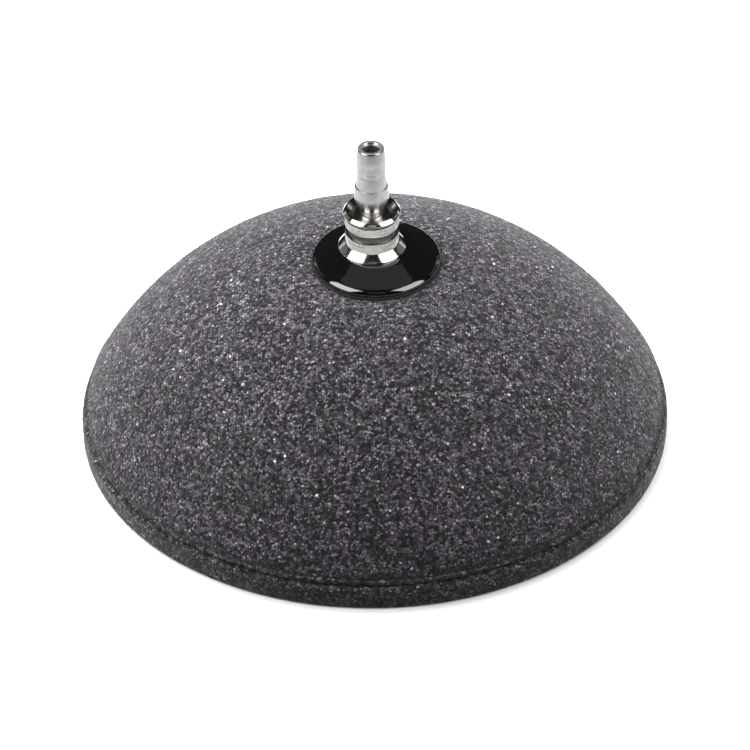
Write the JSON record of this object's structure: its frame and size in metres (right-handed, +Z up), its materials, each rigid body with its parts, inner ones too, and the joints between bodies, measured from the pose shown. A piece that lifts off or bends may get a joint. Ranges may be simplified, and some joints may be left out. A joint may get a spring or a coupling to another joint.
{
  "type": "air stone",
  "caption": "Dome air stone of porous bonded grit with a glossy black cap washer and a plated hose barb; stands flat on a pond or tank floor.",
  "frame": {"origin": "centre of the flat resting face under the stone", "axes": "+Z up along the hose barb; the stone is round, so +X and +Y lie anywhere in the resting face, with the black cap washer sitting 1 mm toward +X"},
  "size_m": [0.15, 0.15, 0.0855],
  "materials": {
    "stone": "rough porous bonded grit, 0.5 to 0.8 mm grains with pale sparkles",
    "bond": "matte dark resin",
    "cap": "moulded gloss black",
    "seal": "matte black rubber",
    "nickel": "bright nickel plate over turned brass",
    "satin_nickel": "satin nickel plate over turned brass",
    "steel": "plain stainless steel, machine finish"
  },
  "bodies": {
    "root": {"stone_dome": "stone", "stone_base": "stone", "bond_seam": "bond", "upper_gasket": "seal", "cap_washer": "cap", "flange_seal": "seal", "fitting_body": "nickel", "hose_barb": "satin_nickel", "lower_gasket": "seal", "clamp_washer": "steel", "lock_nut": "steel"}
  },
  "joints": []
}
